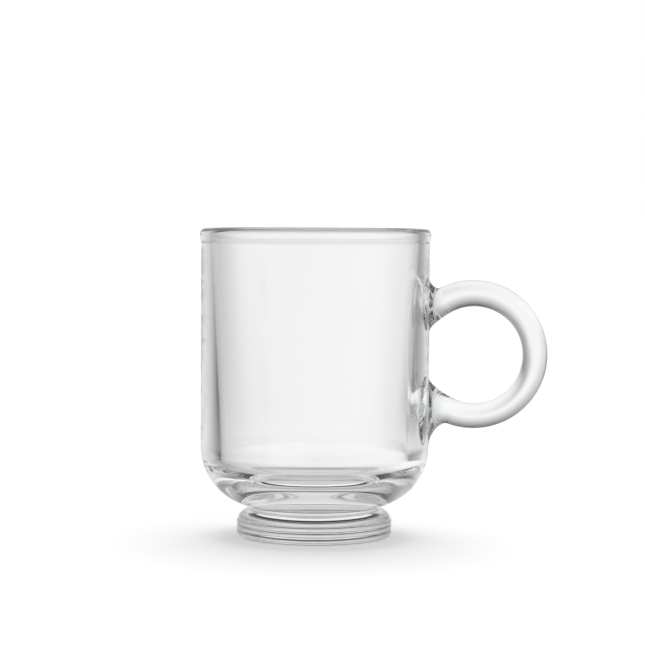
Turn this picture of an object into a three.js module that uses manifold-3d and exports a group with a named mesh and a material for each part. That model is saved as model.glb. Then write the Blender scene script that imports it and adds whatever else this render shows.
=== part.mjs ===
// Coffee glass: a thick-walled bowl fused on a ribbed foot, with a ring handle on its wall.
// Millimetres, +Z up. The glass stands on z = 0 and its handle points along +X.
import * as THREE from 'three';
import { ParametricGeometry } from 'three/addons/geometries/ParametricGeometry.js';
import { mergeVertices } from 'three/addons/utils/BufferGeometryUtils.js';
import Module from 'manifold-3d';

// Driving sizes of the whole glass
const MUG_HEIGHT = 105.3;
const WELD_GAP = 0.3; // left between the handle's roots and the wall that they are fused to

// Driving sizes of the bowl
const BOWL_DIAMETER = 78;
const RIM_WALL = 3.4; // thickness of the wall at the rim
const HEEL_WALL = 6.7; // thickness of the wall where the heel starts to round
const HEEL_RADIUS = 20.5;
const LIP_PROUD = 0.45; // how far the bead of the lip stands out from the wall
const LIP_HEIGHT = 2.9;
const BASE_THICKNESS = 10.3; // from the fused face up to the middle of the floor
const FLOOR_DISH = 1; // hollow of the floor
const BORE_CORNER_WIDTH = 12; // rounding between the bore and the floor
const BORE_CORNER_HEIGHT = 7;

// Driving sizes of the waist, where the bowl and the foot are fused
const WAIST_DIAMETER = 44.4;
const WAIST_LENGTH = 0.8;

// Driving sizes of the foot
const FOOT_DIAMETER = 53.1; // over the tips of the ridges
const LOBE_DIAMETER = 52.2; // the round shoulder above the ridges
const LOBE_HEIGHT = 3.75;
const RIDGE_COUNT = 3;
const RIDGE_PITCH = 1.74;
const RIDGE_DEPTH = 0.5;
const UNDER_EDGE_HEIGHT = 0.95; // rounded edge below the lowest ridge
const UNDER_EDGE_WIDTH = 1.3;
const BEARING_WIDTH = 3.6; // flat ring that the glass stands on
const PUNT_DEPTH = 1.8; // hollow under the foot

// Driving sizes of the handle
const HOLE_DIAMETER = 33; // the finger hole
const ROD_THICKNESS = 8.9; // in the plane of the ring
const ROD_WIDTH = 9; // across the ring
const RING_HEIGHT = 62.6; // table to the centre of the ring
const RING_OFFSET = 15.1; // wall of the bowl to the centre of the ring
const ROOT_WIDTH = 12; // across the flared roots, at the wall
const UPPER_ROOT_TOP = 25.9; // heights at the wall, from the centre of the ring
const UPPER_ROOT_BOTTOM = 7.5;
const LOWER_ROOT_TOP = 8;
const LOWER_ROOT_BOTTOM = 31.6;
const UPPER_FLARE_ANGLE = 117; // degrees from +X to where the ring turns into a root
const LOWER_FLARE_ANGLE = 110;

// Shape numbers, without a size
const RIDGE_TIP_SHARE = 2 / 3; // of a pitch from a ridge's lower valley up to its tip
const LOBE_CROWN_SHARE = 0.78; // of the lobe's height that rounds in to the waist
const FLARE_LEAD = 0.4; // of the way to the wall that a flare keeps the ring's direction
const OUTER_CLIMB = 0.55; // of a flare's climb along the wall that hugs it, on the outside of the ring
const INNER_CLIMB = 0.3; // the same on the inside

// Smoothness
const TURN_SEGMENTS = 64;
const BOWL_ARC_DIVISIONS = 6;
const FOOT_ARC_DIVISIONS = 3;
const ROOT_STEPS = 10;
const RING_STEPS = 36;
const SECTION_POINTS = 20;
const MERGE_DISTANCE = 1e-4;

// Places that follow from the sizes
const bowlRadius = BOWL_DIAMETER / 2;
const lipRadius = bowlRadius + LIP_PROUD;
const waistRadius = WAIST_DIAMETER / 2;
const ridgeBandTop = UNDER_EDGE_HEIGHT + RIDGE_COUNT * RIDGE_PITCH;
const shoulderTop = ridgeBandTop + LOBE_HEIGHT;
const weldHeight = shoulderTop + WAIST_LENGTH / 2;
const heelBottom = weldHeight + WAIST_LENGTH / 2;
const heelCentreRadius = bowlRadius - HEEL_RADIUS;
const heelCentreHeight = heelBottom + Math.sqrt(HEEL_RADIUS ** 2 - (waistRadius - heelCentreRadius) ** 2);
const floorMiddle = weldHeight + BASE_THICKNESS;
const holeRadius = HOLE_DIAMETER / 2;
const ringRadius = holeRadius + ROD_THICKNESS;
const handleReach = bowlRadius + RING_OFFSET + ringRadius;

const wasm = await Module();
wasm.setup();

// A profile in radius and height, turned round the axis of the glass
function revolve(profile, arcDivisions) {
  const geometry = new THREE.LatheGeometry(profile.getPoints(arcDivisions), TURN_SEGMENTS);
  return geometry.rotateX(Math.PI / 2);
}

// The bowl: fused face, waist, round heel, straight wall, beaded lip, tapered bore and hollow floor
function bowlGeometry() {
  const crownRadius = (RIM_WALL + LIP_PROUD) / 2;
  const crownHeight = MUG_HEIGHT - crownRadius;
  const lipUnderside = MUG_HEIGHT - LIP_HEIGHT;
  const taper = (HEEL_WALL - RIM_WALL) / (MUG_HEIGHT - heelCentreHeight);
  const cornerTop = floorMiddle + FLOOR_DISH + BORE_CORNER_HEIGHT;
  const boreRadius = bowlRadius - RIM_WALL - taper * (MUG_HEIGHT - cornerTop);
  const floorRadius = boreRadius - BORE_CORNER_WIDTH;
  const dishSphere = (floorRadius ** 2 + FLOOR_DISH ** 2) / (2 * FLOOR_DISH);
  const dishEdge = Math.asin(floorRadius / dishSphere);
  const heelStart = Math.atan2(heelBottom - heelCentreHeight, waistRadius - heelCentreRadius);
  const down = -Math.PI / 2;

  const profile = new THREE.Path();
  profile.moveTo(0, weldHeight);
  profile.lineTo(waistRadius, weldHeight);
  profile.lineTo(waistRadius, heelBottom);
  profile.absarc(heelCentreRadius, heelCentreHeight, HEEL_RADIUS, heelStart, 0, false);
  profile.lineTo(bowlRadius, lipUnderside - LIP_PROUD);
  profile.absarc(lipRadius, lipUnderside - LIP_PROUD, LIP_PROUD, Math.PI, Math.PI / 2, true);
  profile.lineTo(lipRadius, crownHeight);
  profile.absarc(lipRadius - crownRadius, crownHeight, crownRadius, 0, Math.PI, false);
  profile.lineTo(boreRadius, cornerTop);
  profile.absellipse(floorRadius, cornerTop, BORE_CORNER_WIDTH, BORE_CORNER_HEIGHT, 0, down, true);
  profile.absarc(0, floorMiddle + dishSphere, dishSphere, down + dishEdge, down, true);
  return revolve(profile, BOWL_ARC_DIVISIONS);
}

// The foot: hollow underside, bearing ring, under edge, ridges, round lobe, waist and fused face
function footGeometry() {
  const tipRadius = FOOT_DIAMETER / 2;
  const valleyRadius = tipRadius - RIDGE_DEPTH;
  const bearingRadius = valleyRadius - UNDER_EDGE_WIDTH;
  const puntRadius = bearingRadius - BEARING_WIDTH;
  const puntSphere = (puntRadius ** 2 + PUNT_DEPTH ** 2) / (2 * PUNT_DEPTH);
  const puntEdge = Math.asin(puntRadius / puntSphere);
  const lobeRadius = LOBE_DIAMETER / 2;
  const lobeCrown = LOBE_HEIGHT * LOBE_CROWN_SHARE;
  const lobeMiddle = shoulderTop - lobeCrown;
  const quarter = Math.PI / 2;

  const profile = new THREE.Path();
  profile.moveTo(0, PUNT_DEPTH);
  profile.absarc(0, PUNT_DEPTH - puntSphere, puntSphere, quarter, quarter - puntEdge, true);
  profile.lineTo(bearingRadius, 0);
  profile.absellipse(
    bearingRadius,
    UNDER_EDGE_HEIGHT,
    UNDER_EDGE_WIDTH,
    UNDER_EDGE_HEIGHT,
    -quarter,
    0,
    false,
  );
  for (let ridge = 0; ridge < RIDGE_COUNT; ridge += 1) {
    const valley = UNDER_EDGE_HEIGHT + ridge * RIDGE_PITCH;
    profile.lineTo(tipRadius, valley + RIDGE_TIP_SHARE * RIDGE_PITCH);
    profile.lineTo(valleyRadius, valley + RIDGE_PITCH);
  }
  profile.absellipse(
    valleyRadius,
    lobeMiddle,
    lobeRadius - valleyRadius,
    lobeMiddle - ridgeBandTop,
    -quarter,
    0,
    false,
  );
  profile.absellipse(waistRadius, lobeMiddle, lobeRadius - waistRadius, lobeCrown, 0, quarter, false);
  profile.lineTo(waistRadius, weldHeight);
  profile.lineTo(0, weldHeight);
  return revolve(profile, FOOT_ARC_DIVISIONS);
}

// One edge of a root in the plane of the ring, from the wall to the ring, about the ring's centre
function flareEdge(side, ray, onward, ringEdge, wallEnd, climbShare) {
  const start = ray.clone().multiplyScalar(ringEdge);
  const lead = FLARE_LEAD * (start.x + RING_OFFSET);
  const climb = climbShare * (wallEnd - side * start.y);
  return new THREE.CubicBezierCurve(
    new THREE.Vector2(-RING_OFFSET, side * wallEnd),
    new THREE.Vector2(-RING_OFFSET, side * (wallEnd - climb)),
    onward.clone().multiplyScalar(lead).add(start),
    start,
  );
}

// Both edges of one root. side is 1 above the ring's centre and -1 below it.
function rootOutlines(side, flareAngle, innerEnd, outerEnd) {
  const angle = THREE.MathUtils.degToRad(flareAngle);
  const ray = new THREE.Vector2(Math.cos(angle), side * Math.sin(angle));
  const onward = new THREE.Vector2(-Math.sin(angle), side * Math.cos(angle));
  return {
    inner: flareEdge(side, ray, onward, holeRadius, innerEnd, INNER_CLIMB),
    outer: flareEdge(side, ray, onward, ringRadius, outerEnd, OUTER_CLIMB),
  };
}

// Arc of the ring between the two flares, from above to below
function ringArc(radius) {
  const start = THREE.MathUtils.degToRad(UPPER_FLARE_ANGLE);
  const end = -THREE.MathUtils.degToRad(LOWER_FLARE_ANGLE);
  return new THREE.EllipseCurve(0, 0, radius, radius, start, end, true);
}

// Sections of the handle in order, from a point inside the wall round the ring to another
function handleSections() {
  const upper = rootOutlines(1, UPPER_FLARE_ANGLE, UPPER_ROOT_BOTTOM, UPPER_ROOT_TOP);
  const lower = rootOutlines(-1, LOWER_FLARE_ANGLE, LOWER_ROOT_TOP, LOWER_ROOT_BOTTOM);
  const ring = { inner: ringArc(holeRadius), outer: ringArc(ringRadius) };
  const widthAt = (share) => THREE.MathUtils.lerp(ROOT_WIDTH, ROD_WIDTH, Math.sin(share * Math.PI / 2));
  const section = (span, t, width) => ({
    inner: span.inner.getPoint(t),
    outer: span.outer.getPoint(t),
    width,
  });

  const sections = [];
  for (let step = 0; step < ROOT_STEPS; step += 1) {
    const share = step / ROOT_STEPS;
    sections.push(section(upper, share, widthAt(share)));
  }
  for (let step = 0; step < RING_STEPS; step += 1) {
    sections.push(section(ring, step / RING_STEPS, ROD_WIDTH));
  }
  for (let step = ROOT_STEPS; step >= 0; step -= 1) {
    const share = step / ROOT_STEPS;
    sections.push(section(lower, share, widthAt(share)));
  }

  const inward = new THREE.Vector2(-RIM_WALL / 2, 0);
  const buried = (end) => ({
    inner: end.inner.clone().add(inward),
    outer: end.outer.clone().add(inward),
    width: end.width,
  });
  const closed = (end) => {
    const middle = end.inner.clone().add(end.outer).multiplyScalar(0.5);
    return { inner: middle, outer: middle, width: 0 };
  };
  const first = buried(sections[0]);
  const last = buried(sections[sections.length - 1]);
  return [closed(first), first, ...sections, last, closed(last)];
}

// Merges a closed surface's shared corners, drops the slivers that this leaves and makes a solid of it
function toSolid(geometry) {
  geometry.deleteAttribute('normal');
  geometry.deleteAttribute('uv');
  const merged = mergeVertices(geometry, MERGE_DISTANCE);
  const index = merged.index.array;
  const triVerts = [];
  for (let i = 0; i < index.length; i += 3) {
    const corners = [index[i], index[i + 1], index[i + 2]];
    if (new Set(corners).size === 3) triVerts.push(...corners);
  }
  return new wasm.Manifold(new wasm.Mesh({
    numProp: 3,
    vertProperties: merged.attributes.position.array,
    triVerts: Uint32Array.from(triVerts),
  }));
}

function fromSolid(solid) {
  const mesh = solid.getMesh();
  const geometry = new THREE.BufferGeometry();
  geometry.setAttribute('position', new THREE.BufferAttribute(mesh.vertProperties, 3));
  geometry.setIndex(new THREE.BufferAttribute(mesh.triVerts, 1));
  geometry.computeVertexNormals();
  return geometry;
}

// The handle: elliptic sections lofted along the ring and its roots, cut to sit on the bowl's wall
function handleGeometry() {
  const sections = handleSections();
  const lastSection = sections.length - 1;
  const loft = new ParametricGeometry((around, along, target) => {
    const { inner, outer, width } = sections[Math.round(along * lastSection)];
    const turn = -2 * Math.PI * around;
    const share = (1 - Math.cos(turn)) / 2;
    target.set(
      THREE.MathUtils.lerp(outer.x, inner.x, share),
      Math.sin(turn) * width / 2,
      THREE.MathUtils.lerp(outer.y, inner.y, share),
    );
  }, SECTION_POINTS, lastSection);
  loft.translate(bowlRadius + RING_OFFSET, 0, RING_HEIGHT);

  const wallRadius = bowlRadius + WELD_GAP;
  const wall = new THREE.CylinderGeometry(wallRadius, wallRadius, MUG_HEIGHT, TURN_SEGMENTS);
  wall.rotateX(Math.PI / 2);
  wall.translate(0, 0, RING_HEIGHT);
  return fromSolid(toSolid(loft).subtract(toSolid(wall)));
}

// Clear soda-lime glass, as smooth as each piece's own making leaves it
function glass(color, roughness) {
  return new THREE.MeshStandardMaterial({
    color,
    roughness,
    metalness: 0,
    transparent: true,
    opacity: 0.35,
  });
}

function piece(name, geometry, material) {
  const mesh = new THREE.Mesh(geometry, material);
  mesh.name = name;
  return mesh;
}

const mug = new THREE.Group();
mug.add(
  piece('bowl', bowlGeometry(), glass(0xf1f4f3, 0.03)),
  piece('foot', footGeometry(), glass(0xe6ebe8, 0.08)),
  piece('handle', handleGeometry(), glass(0xeef2f0, 0.05)),
);
// The bowl and its handle share the middle of the frame
mug.position.x = (lipRadius - handleReach) / 2;

export default mug;
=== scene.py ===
import math

import bmesh
import bpy
from mathutils import Matrix, Vector


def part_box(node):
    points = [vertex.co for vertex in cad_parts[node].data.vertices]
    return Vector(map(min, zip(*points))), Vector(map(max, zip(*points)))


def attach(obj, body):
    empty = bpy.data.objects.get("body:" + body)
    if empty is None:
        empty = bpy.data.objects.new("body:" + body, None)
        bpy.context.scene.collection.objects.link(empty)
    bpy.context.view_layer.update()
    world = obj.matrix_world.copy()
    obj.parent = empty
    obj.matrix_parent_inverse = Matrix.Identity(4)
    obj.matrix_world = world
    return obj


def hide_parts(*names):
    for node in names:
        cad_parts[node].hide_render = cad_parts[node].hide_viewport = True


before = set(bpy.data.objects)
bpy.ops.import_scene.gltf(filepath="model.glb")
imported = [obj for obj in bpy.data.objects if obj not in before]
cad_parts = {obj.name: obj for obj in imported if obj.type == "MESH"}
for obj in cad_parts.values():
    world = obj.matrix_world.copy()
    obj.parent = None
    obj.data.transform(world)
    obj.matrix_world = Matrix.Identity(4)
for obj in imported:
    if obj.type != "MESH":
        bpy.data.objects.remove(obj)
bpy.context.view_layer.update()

MM = 0.001

# Places of the three fused pieces, from the frame
bowl_low, bowl_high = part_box("bowl")
foot_low, foot_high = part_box("foot")
handle_low, handle_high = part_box("handle")
AXIS_X = (bowl_low[0] + bowl_high[0]) / 2
MUG_HEIGHT = bowl_high[2] / MM
WELD_HEIGHT = foot_high[2] / MM
LIP_RADIUS = (bowl_high[0] - bowl_low[0]) / 2 / MM
TIP_RADIUS = (foot_high[0] - foot_low[0]) / 2 / MM
HANDLE_REACH = (handle_high[0] - AXIS_X) / MM

# Bowl, in millimetres
LIP_PROUD = 0.45
LIP_HEIGHT = 2.9
LIP_EASE = 2.2
RIM_WALL = 3.4
HEEL_WALL = 6.7
HEEL_RADIUS = 20.5
WALL_RADIUS = LIP_RADIUS - LIP_PROUD
BASE_THICKNESS = 10.3
FLOOR_DISH = 1.0
CORNER_WIDTH = 12.0
CORNER_HEIGHT = 7.0

# Waist and foot
WAIST_RADIUS = 22.2
GROOVE_RADIUS = 0.4
GROOVE_DROP = 1.1
RIDGE_COUNT = 3
RIDGE_PITCH = 1.74
RIDGE_DEPTH = 0.5
UNDER_EDGE_HEIGHT = 0.95
UNDER_EDGE_WIDTH = 1.3
LOBE_RADIUS = 26.1
LOBE_CROWN = 3.3
BEARING_WIDTH = 3.6
PUNT_DEPTH = 1.8

# Ring handle, with root heights counted from the centre of the ring
HOLE_RADIUS = 16.5
ROD_THICKNESS = 8.9
HOLE_SHIFT = Vector((0.34, -0.2))
ROD_WIDTH = 9.0
ROOT_WIDTH = 12.0
RING_RADIUS = HOLE_RADIUS + ROD_THICKNESS
RING_X = HANDLE_REACH - RING_RADIUS
RING_HEIGHT = 62.6
UPPER_ROOT = (7.5, 25.9)
LOWER_ROOT = (8.0, 31.6)
UPPER_FLARE = 117
LOWER_FLARE = 110
FLARE_LEAD = 0.4
OUTER_CLIMB = 0.55
INNER_CLIMB = 0.3
BURIED = 1.6

# Smoothness
TURNS = 480
ROOT_STEPS = 20
RING_STEPS = 120
SECTION_POINTS = 48
MERGE = 0.001 * MM


class Pen:
    """Draws half a section of a turned piece as a chain of edges, in millimetres from the axis."""

    def __init__(self, radius, height):
        self.bm = bmesh.new()
        self.tip = self.bm.verts.new(self.place(radius, height))

    def place(self, radius, height):
        return Vector((AXIS_X + radius * MM, 0, height * MM))

    def line(self, radius, height, steps=1):
        start = self.tip.co.copy()
        end = self.place(radius, height)
        for step in range(1, steps + 1):
            self.tip = bmesh.ops.extrude_vert_indiv(self.bm, verts=[self.tip])["verts"][0]
            self.tip.co = start.lerp(end, step / steps)

    def swell(self, radius, height, steps):
        """Eases out and up to a point, upright at both ends."""
        start = self.tip.co.copy()
        end = self.place(radius, height)
        for step in range(1, steps + 1):
            share = step / steps
            self.line(0, 0)
            self.tip.co = start.lerp(end, share)
            self.tip.co.x = start.x + (end.x - start.x) * (1 - math.cos(share * math.pi)) / 2

    def arc(self, radius, height, degrees, steps, flatten=1.0):
        """Turns the tip about a centre, anticlockwise for positive degrees, and scales the arc in height."""
        centre = self.place(radius, height)
        start = self.tip
        drawn = len(self.bm.verts)
        start.co.z = centre.z + (start.co.z - centre.z) / flatten
        made = bmesh.ops.spin(
            self.bm,
            geom=[start],
            cent=centre,
            axis=(0, -1, 0),
            angle=math.radians(degrees),
            steps=steps,
        )
        self.tip = next(part for part in made["geom_last"] if isinstance(part, bmesh.types.BMVert))
        self.bm.verts.ensure_lookup_table()
        turned = [start] + self.bm.verts[drawn:]
        bmesh.ops.scale(self.bm, vec=(1, 1, flatten), space=Matrix.Translation(-centre), verts=turned)

    def turned(self):
        """Spins the section round the axis into a closed piece."""
        bm = self.bm
        bmesh.ops.spin(
            bm,
            geom=bm.verts[:] + bm.edges[:],
            cent=(AXIS_X, 0, 0),
            axis=(0, 0, 1),
            angle=math.tau,
            steps=TURNS,
            use_merge=True,
        )
        bmesh.ops.remove_doubles(bm, verts=bm.verts[:], dist=MERGE)
        bmesh.ops.recalc_face_normals(bm, faces=bm.faces[:])
        return bm


def draw_bowl():
    crown = (RIM_WALL + LIP_PROUD) / 2
    heel_r = WALL_RADIUS - HEEL_RADIUS
    # the heel starts where the groove of the waist runs out into it
    groove_r = WAIST_RADIUS + GROOVE_RADIUS
    reach = HEEL_RADIUS + GROOVE_RADIUS
    heel_z = WELD_HEIGHT + math.sqrt(reach ** 2 - (groove_r - heel_r) ** 2)
    lean = math.degrees(math.atan2(groove_r - heel_r, heel_z - WELD_HEIGHT))
    lip_under = MUG_HEIGHT - LIP_HEIGHT
    taper = (HEEL_WALL - RIM_WALL) / (MUG_HEIGHT - heel_z)
    floor_z = WELD_HEIGHT + BASE_THICKNESS
    corner_z = floor_z + FLOOR_DISH + CORNER_HEIGHT
    bore_r = WALL_RADIUS - RIM_WALL - taper * (MUG_HEIGHT - corner_z)
    floor_r = bore_r - CORNER_WIDTH
    dish = (floor_r ** 2 + FLOOR_DISH ** 2) / (2 * FLOOR_DISH)

    pen = Pen(0, WELD_HEIGHT)
    pen.line(WAIST_RADIUS, WELD_HEIGHT, 4)
    pen.arc(groove_r, WELD_HEIGHT, lean - 90, 8)
    pen.arc(heel_r, heel_z, 90 - lean, 44)
    pen.line(WALL_RADIUS, lip_under - LIP_EASE, 10)
    pen.swell(LIP_RADIUS, lip_under, 12)
    pen.line(LIP_RADIUS, MUG_HEIGHT - crown, 2)
    pen.arc(LIP_RADIUS - crown, MUG_HEIGHT - crown, 180, 28)
    pen.line(bore_r, corner_z, 10)
    pen.arc(floor_r, corner_z, -90, 32, flatten=CORNER_HEIGHT / CORNER_WIDTH)
    pen.arc(0, floor_z + dish, -math.degrees(math.asin(floor_r / dish)), 16)
    return pen.turned()


def draw_foot():
    valley = TIP_RADIUS - RIDGE_DEPTH
    bearing = valley - UNDER_EDGE_WIDTH
    punt = bearing - BEARING_WIDTH
    sphere = (punt ** 2 + PUNT_DEPTH ** 2) / (2 * PUNT_DEPTH)
    lobe_z = WELD_HEIGHT - GROOVE_DROP - LOBE_CROWN
    groove_r = WAIST_RADIUS + GROOVE_RADIUS

    pen = Pen(0, PUNT_DEPTH)
    pen.arc(0, PUNT_DEPTH - sphere, -math.degrees(math.asin(punt / sphere)), 32)
    pen.line(bearing, 0, 6)
    pen.arc(bearing, UNDER_EDGE_HEIGHT, 90, 12, flatten=UNDER_EDGE_HEIGHT / UNDER_EDGE_WIDTH)
    for ridge in range(RIDGE_COUNT):
        low = UNDER_EDGE_HEIGHT + ridge * RIDGE_PITCH
        pen.arc(valley, low + RIDGE_PITCH / 2, 180, 14, flatten=RIDGE_PITCH / 2 / RIDGE_DEPTH)
    pen.line(LOBE_RADIUS, lobe_z, 4)
    pen.arc(groove_r, lobe_z, 90, 24, flatten=LOBE_CROWN / (LOBE_RADIUS - groove_r))
    pen.arc(groove_r, WELD_HEIGHT, -90, 10, flatten=GROOVE_DROP / GROOVE_RADIUS)
    pen.line(0, WELD_HEIGHT, 8)
    return pen.turned()


def bezier(points, t):
    """A point on the curve of any order through the first and last of the points."""
    while len(points) > 1:
        points = [a.lerp(b, t) for a, b in zip(points, points[1:])]
    return points[0]


def flare_curve(start, onward, side, end, climb_share):
    """One edge of a root in the plane of the ring, from the ring to the wall, which it ends by hugging."""
    wall = WALL_RADIUS - RING_X
    climb = climb_share * (end - side * start.y)
    return [
        start,
        start + onward * FLARE_LEAD * (start.x - wall),
        Vector((wall, side * (end - climb))),
        Vector((wall, side * end)),
    ]


def root_sections(side, flare, ends):
    angle = math.radians(flare)
    ray = Vector((math.cos(angle), side * math.sin(angle)))
    onward = Vector((-math.sin(angle), side * math.cos(angle)))
    inner = flare_curve(ray * HOLE_RADIUS + HOLE_SHIFT, onward, side, ends[0], INNER_CLIMB)
    outer = flare_curve(ray * RING_RADIUS, onward, side, ends[1], OUTER_CLIMB)
    sections = []
    for step in range(1, ROOT_STEPS + 1):
        t = step / ROOT_STEPS
        width = ROD_WIDTH + (ROOT_WIDTH - ROD_WIDTH) * (1 - math.cos(t * math.pi / 2))
        sections.append((bezier(inner, t), bezier(outer, t), width))
    inward = Vector((-BURIED, 0))
    inner_end, outer_end, width = sections[-1]
    return sections + [(inner_end + inward, outer_end + inward, width)]


def handle_sections():
    """Inner edge, outer edge and width of each section, from one buried end to the other."""
    upper = root_sections(1, UPPER_FLARE, UPPER_ROOT)
    lower = root_sections(-1, LOWER_FLARE, LOWER_ROOT)
    ring = []
    for step in range(RING_STEPS + 1):
        angle = math.radians(UPPER_FLARE - (UPPER_FLARE + LOWER_FLARE) * step / RING_STEPS)
        ray = Vector((math.cos(angle), math.sin(angle)))
        ring.append((ray * HOLE_RADIUS + HOLE_SHIFT, ray * RING_RADIUS, ROD_WIDTH))
    return upper[::-1] + ring + lower


def place_section(loop, section):
    inner, outer, width = section
    middle = (inner + outer) / 2
    reach = (outer - inner) / 2
    for i, vert in enumerate(loop):
        turn = math.tau * i / len(loop)
        flat = middle + reach * math.cos(turn)
        vert.co = Vector((RING_X + flat.x, math.sin(turn) * width / 2, RING_HEIGHT + flat.y)) * MM
        vert.co.x += AXIS_X


def draw_handle():
    bm = bmesh.new()
    sections = handle_sections()
    loop = bmesh.ops.create_circle(bm, segments=SECTION_POINTS, radius=MM)["verts"]
    place_section(loop, sections[0])
    edges = bm.edges[:]
    for section in sections[1:]:
        made = bmesh.ops.extrude_edge_only(bm, edges=edges)["geom"]
        edges = [part for part in made if isinstance(part, bmesh.types.BMEdge) and part.is_boundary]
        fresh = {part for part in made if isinstance(part, bmesh.types.BMVert)}
        loop = [
            next(edge.other_vert(old) for edge in old.link_edges if edge.other_vert(old) in fresh)
            for old in loop
        ]
        place_section(loop, section)
    bmesh.ops.holes_fill(bm, edges=[edge for edge in bm.edges if edge.is_boundary], sides=0)
    bmesh.ops.recalc_face_normals(bm, faces=bm.faces[:])
    return bm


def as_object(name, bm, materials):
    mesh = bpy.data.meshes.new(name)
    for face in bm.faces:
        face.smooth = True
    bm.to_mesh(mesh)
    bm.free()
    for material in materials:
        mesh.materials.append(material)
    piece = bpy.data.objects.new(name, mesh)
    bpy.context.scene.collection.objects.link(piece)
    return piece


def linear(hex_colour):
    """A colour written as sRGB hex, as the linear values that the sockets take."""
    levels = [int(hex_colour[i:i + 2], 16) / 255 for i in (1, 3, 5)]
    return [v / 12.92 if v <= 0.04045 else ((v + 0.055) / 1.055) ** 2.4 for v in levels] + [1.0]


def add(tree, kind, inputs=(), **settings):
    """Adds a node: settings are its properties, and inputs are its sockets' values or what feeds them."""
    made = tree.nodes.new(kind)
    for name, value in settings.items():
        setattr(made, name, value)
    for name, value in dict(inputs).items():
        if isinstance(value, bpy.types.NodeSocket):
            tree.links.new(value, made.inputs[name])
        else:
            made.inputs[name].default_value = value
    return made


def new_tree(owner):
    owner.use_nodes = True
    owner.node_tree.nodes.clear()
    return owner.node_tree


def noise(tree, vector, size):
    """Soft random values from 0 to 1, with patches of a size in millimetres."""
    scale = 1 / (size * MM)
    return add(tree, "ShaderNodeTexNoise", {"Vector": vector, "Scale": scale, "Detail": 2.0}).outputs[0]


def between(tree, value, low, high, least=0.0, most=1.0, ease="LINEAR"):
    """Runs from least to most as a value goes from low to high, and stays at its ends."""
    return add(tree, "ShaderNodeMapRange", {
        "Value": value,
        "From Min": low,
        "From Max": high,
        "To Min": least,
        "To Max": most,
    }, interpolation_type=ease).outputs[0]


def mix(tree, factor, first, second):
    return add(tree, "ShaderNodeMix", {0: factor, 6: first, 7: second}, data_type="RGBA").outputs[2]


def finish_glass(tree, tint, roughness, height, relief):
    """Clear soda-lime glass, with a surface that rises by relief in millimetres where height is 1."""
    bump = add(tree, "ShaderNodeBump", {"Strength": 1.0, "Distance": relief * MM, "Height": height})
    shader = add(tree, "ShaderNodeBsdfPrincipled", {
        "Base Color": tint,
        "Roughness": roughness,
        "IOR": 1.52,
        "Transmission Weight": 1.0,
        "Normal": bump.outputs[0],
    })
    add(tree, "ShaderNodeOutputMaterial", {"Surface": shader.outputs[0]})


def bowl_material():
    """Blown in a mould and fire-polished: faint upright waves in the wall, and painted shade darkening the
    top of the rim.
    """
    material = bpy.data.materials.new("fire_polished_soda_lime_bowl")
    tree = new_tree(material)
    place = add(tree, "ShaderNodeTexCoord").outputs["Object"]
    # waves 9 mm across that run 150 mm up the wall
    upright = add(tree, "ShaderNodeMapping", {"Vector": place, "Scale": (1, 1, 0.06)}).outputs[0]
    waves = noise(tree, upright, 9)
    height = add(tree, "ShaderNodeSeparateXYZ", {"Vector": place}).outputs["Z"]
    cloud = noise(tree, place, 30)
    body = mix(tree, cloud, linear("#fdfefd"), linear("#ffffff"))
    # painted shade: the top of the rim, from 1.3 mm below the lip, is tinted dark grey to stand in for the
    # dark line the rim shows
    rim = between(tree, height, (MUG_HEIGHT - 1.3) * MM, (MUG_HEIGHT - 0.6) * MM)
    tint = mix(tree, rim, body, linear("#a3a8a5"))
    roughness = between(tree, noise(tree, place, 40), 0.3, 0.7, 0.004, 0.008)
    finish_glass(tree, tint, roughness, waves, 0.008)
    return material


def foot_material():
    """Pressed in an iron mould: small chill ripples, a ring under the foot that tables have scuffed, and
    painted contact shade darkening the bottom of the foot.
    """
    material = bpy.data.materials.new("pressed_soda_lime_foot")
    tree = new_tree(material)
    place = add(tree, "ShaderNodeTexCoord").outputs["Object"]
    height = add(tree, "ShaderNodeSeparateXYZ", {"Vector": place}).outputs["Z"]
    ripples = noise(tree, place, 3)
    body = mix(tree, noise(tree, place, 12), linear("#fafcfa"), linear("#fefefe"))
    # painted shade: the lowest 0.6 mm of the foot is tinted dark grey, darkest where it meets the table, as
    # a painted contact shadow
    edge = between(tree, height, 0.6 * MM, 0.1 * MM)
    tint = mix(tree, edge, body, linear("#a9aeab"))
    scuffs = between(tree, noise(tree, place, 0.8), 0.4, 0.7, 0.05, 0.35)
    worn = between(tree, height, 0.15 * MM, 0.0)
    smooth = between(tree, ripples, 0.4, 0.8, 0.0, 0.02)
    roughness = add(tree, "ShaderNodeMix", {0: worn, 2: smooth, 3: scuffs}).outputs[0]
    finish_glass(tree, tint, roughness, ripples, 0.004)
    return material


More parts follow.
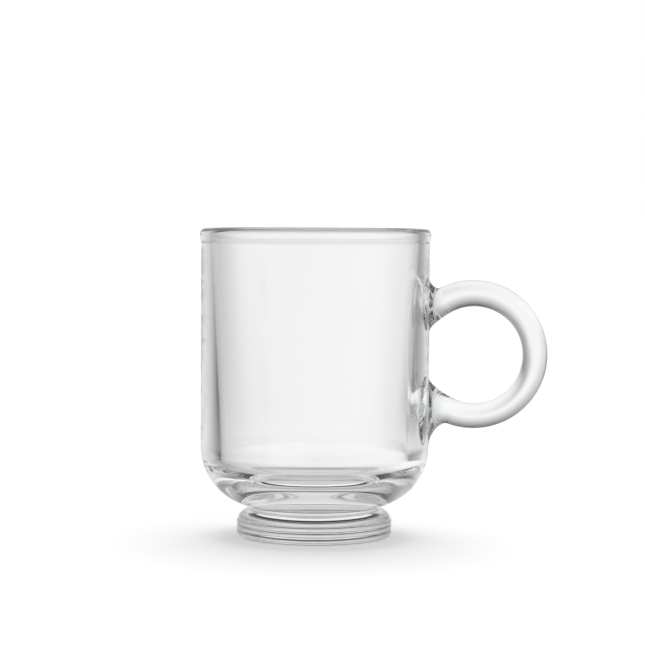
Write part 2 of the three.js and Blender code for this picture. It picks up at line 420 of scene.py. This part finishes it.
def handle_material():
    """Drawn from a gather of soft glass: fine lines along the rod, and greener glass in the thick roots."""
    material = bpy.data.materials.new("drawn_soda_lime_handle")
    tree = new_tree(material)
    place = add(tree, "ShaderNodeTexCoord").outputs["Object"]
    ring = (AXIS_X + RING_X * MM, 0, RING_HEIGHT * MM)
    arm = add(tree, "ShaderNodeVectorMath", {0: place, 1: ring}, operation="SUBTRACT").outputs[0]
    split = add(tree, "ShaderNodeSeparateXYZ", {"Vector": arm})
    flat = add(tree, "ShaderNodeVectorMath", {0: arm, 1: (1, 0, 1)}, operation="MULTIPLY").outputs[0]
    radius = add(tree, "ShaderNodeVectorMath", {0: flat}, operation="LENGTH").outputs["Value"]
    along = add(tree, "ShaderNodeCombineXYZ", {"X": radius, "Y": split.outputs["Y"]}).outputs[0]
    lines = noise(tree, along, 2.5)
    wall = (WALL_RADIUS - RING_X) * MM
    root = between(tree, split.outputs["X"], wall + 5 * MM, wall)
    cloud = mix(tree, noise(tree, place, 10), linear("#fdfefd"), linear("#ffffff"))
    tint = mix(tree, root, cloud, linear("#dfe6e0"))
    roughness = between(tree, noise(tree, place, 8), 0.45, 0.8, 0.0, 0.015)
    finish_glass(tree, tint, roughness, lines, 0.003)
    return material


def seam_material():
    """Hot glass run together: nothing shows where two pieces meet."""
    material = bpy.data.materials.new("fused_seam")
    tree = new_tree(material)
    shader = add(tree, "ShaderNodeBsdfPrincipled", {"Alpha": 0.0})
    add(tree, "ShaderNodeOutputMaterial", {"Surface": shader.outputs[0]})
    return material


GLASS = 0
SEAM = 1
LEVEL_NORMAL = 0.99


def fused_mesh(bowl_glass, handle_glass):
    """The bowl with its handle run into it, still marked by the glass of each."""
    bowl = as_object("bowl_whole", draw_bowl(), [bowl_glass])
    rod = as_object("handle_rod", draw_handle(), [handle_glass])
    fusing = bowl.modifiers.new("fuse", "BOOLEAN")
    fusing.operation = "UNION"
    fusing.solver = "EXACT"
    fusing.material_mode = "TRANSFER"
    fusing.object = rod
    fused = bpy.data.meshes.new_from_object(bowl.evaluated_get(bpy.context.evaluated_depsgraph_get()))
    for scrap in (bowl, rod):
        bpy.data.objects.remove(scrap)
    return fused


def part_of_fused(name, fused, glass, seam):
    """One piece's faces of the fused glass, closed with a seam where the other piece joins it."""
    own = fused.materials.find(glass.name)
    bm = bmesh.new()
    bm.from_mesh(fused)
    others = [face for face in bm.faces if face.material_index != own]
    bmesh.ops.delete(bm, geom=others, context="FACES")
    for face in bm.faces:
        face.material_index = GLASS
    rims = [edge for edge in bm.edges if edge.is_boundary]
    for edge in rims:
        edge.smooth = False
    for face in bmesh.ops.holes_fill(bm, edges=rims, sides=0)["faces"]:
        face.material_index = SEAM
    return as_object(name, bm, [glass, seam])


def mark_weld(piece):
    """Makes the flat face between the bowl and the foot a seam with a sharp rim."""
    level = WELD_HEIGHT * MM
    mesh = piece.data
    for face in mesh.polygons:
        if abs(face.normal.z) > LEVEL_NORMAL and abs(face.center.z - level) < MERGE:
            face.material_index = SEAM
    rim = WAIST_RADIUS * MM - MERGE
    for edge in mesh.edges:
        ends = [mesh.vertices[i].co for i in edge.vertices]
        on_level = all(abs(end.z - level) < MERGE for end in ends)
        on_rim = all(math.hypot(end.x - AXIS_X, end.y) > rim for end in ends)
        edge.use_edge_sharp = edge.use_edge_sharp or (on_level and on_rim)


# Pieces
bowl_glass = bowl_material()
foot_glass = foot_material()
handle_glass = handle_material()
seam = seam_material()
fused = fused_mesh(bowl_glass, handle_glass)
bowl = part_of_fused("bowl_glass", fused, bowl_glass, seam)
handle = part_of_fused("handle_glass", fused, handle_glass, seam)
foot = as_object("foot_glass", draw_foot(), [foot_glass, seam])
for piece in (bowl, foot):
    mark_weld(piece)
# a clear rod lets the light under it, so the table shows the shadow of the bowl and foot alone
handle.visible_shadow = False
for piece, node in ((bowl, "bowl"), (foot, "foot"), (handle, "handle")):
    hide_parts(node)
    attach(piece, "root")


# Studio: brightness by azimuth in degrees, with 0 behind the glass and 90 at the handle's side
WALL_LEVELS = (
    (-180, 0.75), (-130, 0.75), (-104, 0.7), (-88, 0.45), (-74, 0.04), (-60, 0.0), (-48, 0.5), (-36, 0.67),
    (-22, 0.75), (-12, 0.84), (-5, 0.92), (5, 0.95), (14, 0.93), (22, 0.78), (32, 0.44), (45, 0.36),
    (58, 0.22), (72, 0.5), (90, 1.0), (130, 0.8), (180, 0.75),
)
FLOOR_LEVELS = (
    (-180, 0.7), (-140, 0.8), (-105, 0.5), (-62, 0.3), (-25, 0.92), (0, 1.1), (25, 1.08),
    (60, 1.0), (100, 1.0), (140, 0.8), (180, 0.7),
)
# The top of the studio, by the parts of a direction: how high it starts, how far aside, and how bright
TOP_RISE = (0.0, 0.55)
ZENITH_RISE = (0.58, 0.74)
TOP_ASIDE = (0.084, 0.28)
TOP_TURN = 0.5
TOP_FRONT = 0.02
TOP_LEFT = 0.4
TOP_RIGHT = 0.75
TOP_BACK = 0.27
# The floor, by metres from the axis: the shade under the glass, the pool of light, and the far floor
NEAR_LEVEL = 0.66
FLOOR_NEAR = (0.024, 0.055)
FLOOR_FAR = (0.085, 0.32)
FLOOR_GLOW = 0.54
FLOOR_SIZE = 20.0
FLOOR_DROP = 0.03
OVERHEAD_POWER = 1.2
OVERHEAD_ANGLE = 46
OVERHEAD_TILT = -15
# The camera, from the axis of the glass, in millimetres and degrees
CAMERA_ASIDE = 2.3
CAMERA_AWAY = 815
CAMERA_HEIGHT = 113.05
CAMERA_DOWN = 2.8
CAMERA_ROLL = -0.28
SENSOR_WIDTH = 36
FOCAL_LENGTH = 133.3
BOUNCES = 40


def grey(level):
    return (level, level, level, 1)


def studio_level(tree, vector, levels):
    """Brightness of the studio round the glass: white behind, a dark flag at each side, pale in front."""
    split = add(tree, "ShaderNodeSeparateXYZ", {"Vector": vector})
    turn = add(tree, "ShaderNodeMath", {0: split.outputs["X"], 1: split.outputs["Y"]}, operation="ARCTAN2")
    share = between(tree, turn.outputs[0], -math.pi, math.pi)
    ramp = add(tree, "ShaderNodeValToRGB", {"Fac": share})
    ramp.color_ramp.interpolation = "B_SPLINE"
    stops = ramp.color_ramp.elements
    stops[0].color = grey(levels[0][1])
    stops[1].color = grey(levels[-1][1])
    for azimuth, level in levels[1:-1]:
        stops.new(azimuth / 360 + 0.5).color = grey(level)
    return ramp.outputs["Color"]


def make_world():
    """What the glass mirrors and bends: wall levels below, a darker top, and plain white for the camera."""
    world = bpy.data.worlds.new("studio")
    bpy.context.scene.world = world
    tree = new_tree(world)
    direction = add(tree, "ShaderNodeTexCoord").outputs["Generated"]
    split = add(tree, "ShaderNodeSeparateXYZ", {"Vector": direction})
    rise = between(tree, split.outputs["Z"], *TOP_RISE)
    zenith = between(tree, split.outputs["Z"], *ZENITH_RISE)
    behind = between(tree, split.outputs["Y"], -TOP_TURN, TOP_TURN)
    front = grey(TOP_FRONT)
    for side, lit in ((-1, TOP_LEFT), (1, TOP_RIGHT)):
        near, far = (side * reach for reach in TOP_ASIDE)
        aside = between(tree, split.outputs["X"], near, far, ease="SMOOTHSTEP")
        front = mix(tree, aside, front, grey(lit))
    top = mix(tree, behind, front, grey(TOP_BACK))
    top = mix(tree, zenith, top, grey(TOP_FRONT))
    level = mix(tree, rise, studio_level(tree, direction, WALL_LEVELS), top)
    path = add(tree, "ShaderNodeLightPath")
    seen = mix(tree, path.outputs["Is Camera Ray"], level, linear("#ffffff"))
    sky = add(tree, "ShaderNodeBackground", {"Color": seen})
    add(tree, "ShaderNodeOutputWorld", {"Surface": sky.outputs[0]})


def make_floor():
    """A pale table that takes the shadow, and that the glass sees as a pool of light."""
    material = bpy.data.materials.new("pale_floor")
    tree = new_tree(material)
    place = add(tree, "ShaderNodeTexCoord").outputs["Object"]
    middle = (AXIS_X, 0, 0)
    centred = add(tree, "ShaderNodeVectorMath", {0: place, 1: middle}, operation="SUBTRACT").outputs[0]
    distance = add(tree, "ShaderNodeVectorMath", {0: centred}, operation="LENGTH").outputs["Value"]
    pool = grey(NEAR_LEVEL)
    for (start, end), levels in ((FLOOR_NEAR, FLOOR_LEVELS), (FLOOR_FAR, WALL_LEVELS)):
        beyond = between(tree, distance, start, end, ease="SMOOTHSTEP")
        pool = mix(tree, beyond, pool, studio_level(tree, centred, levels))
    around = add(tree, "ShaderNodeEmission", {"Color": pool})
    paint = add(tree, "ShaderNodeBsdfDiffuse", {"Color": linear("#f6f2f6")})
    glow = add(tree, "ShaderNodeEmission", {"Color": linear("#fcfffb"), "Strength": FLOOR_GLOW})
    lit = add(tree, "ShaderNodeAddShader", {0: paint.outputs[0], 1: glow.outputs[0]})
    path = add(tree, "ShaderNodeLightPath")
    seen = add(tree, "ShaderNodeMixShader", {
        0: path.outputs["Is Camera Ray"],
        1: around.outputs[0],
        2: lit.outputs[0],
    })
    add(tree, "ShaderNodeOutputMaterial", {"Surface": seen.outputs[0]})
    bm = bmesh.new()
    bmesh.ops.create_grid(bm, x_segments=1, y_segments=1, size=FLOOR_SIZE)
    bmesh.ops.translate(bm, vec=(0, 0, -FLOOR_DROP * MM), verts=bm.verts[:])
    as_object("floor", bm, [material])


def make_overhead():
    """A wide soft light over the table, for the floor and the shadow on it."""
    lamp = bpy.data.lights.new("overhead", "SUN")
    lamp.angle = math.radians(OVERHEAD_ANGLE)
    lamp.energy = OVERHEAD_POWER
    overhead = bpy.data.objects.new("overhead", lamp)
    overhead.rotation_euler = (math.radians(OVERHEAD_TILT), 0, 0)
    overhead.visible_glossy = False
    overhead.visible_transmission = False
    bpy.context.scene.collection.objects.link(overhead)


def make_camera():
    lens = bpy.data.cameras.new("camera")
    camera = bpy.data.objects.new("camera", lens)
    bpy.context.scene.collection.objects.link(camera)
    bpy.context.scene.camera = camera
    lens.sensor_width = SENSOR_WIDTH
    lens.lens = FOCAL_LENGTH
    lens.clip_end = 2 * FLOOR_SIZE + 10
    camera.location = (AXIS_X + CAMERA_ASIDE * MM, -CAMERA_AWAY * MM, CAMERA_HEIGHT * MM)
    camera.rotation_euler = (math.radians(90 - CAMERA_DOWN), math.radians(CAMERA_ROLL), 0)


make_world()
make_floor()
make_overhead()
make_camera()
scene = bpy.context.scene
scene.view_settings.view_transform = "Standard"
# light crosses the thick glass many times, so few bounces would leave false dark zones
scene.cycles.max_bounces = BOUNCES
scene.cycles.transmission_bounces = BOUNCES
scene.cycles.glossy_bounces = BOUNCES
scene.cycles.transparent_max_bounces = 16
scene.cycles.caustics_refractive = False
scene.cycles.caustics_reflective = False
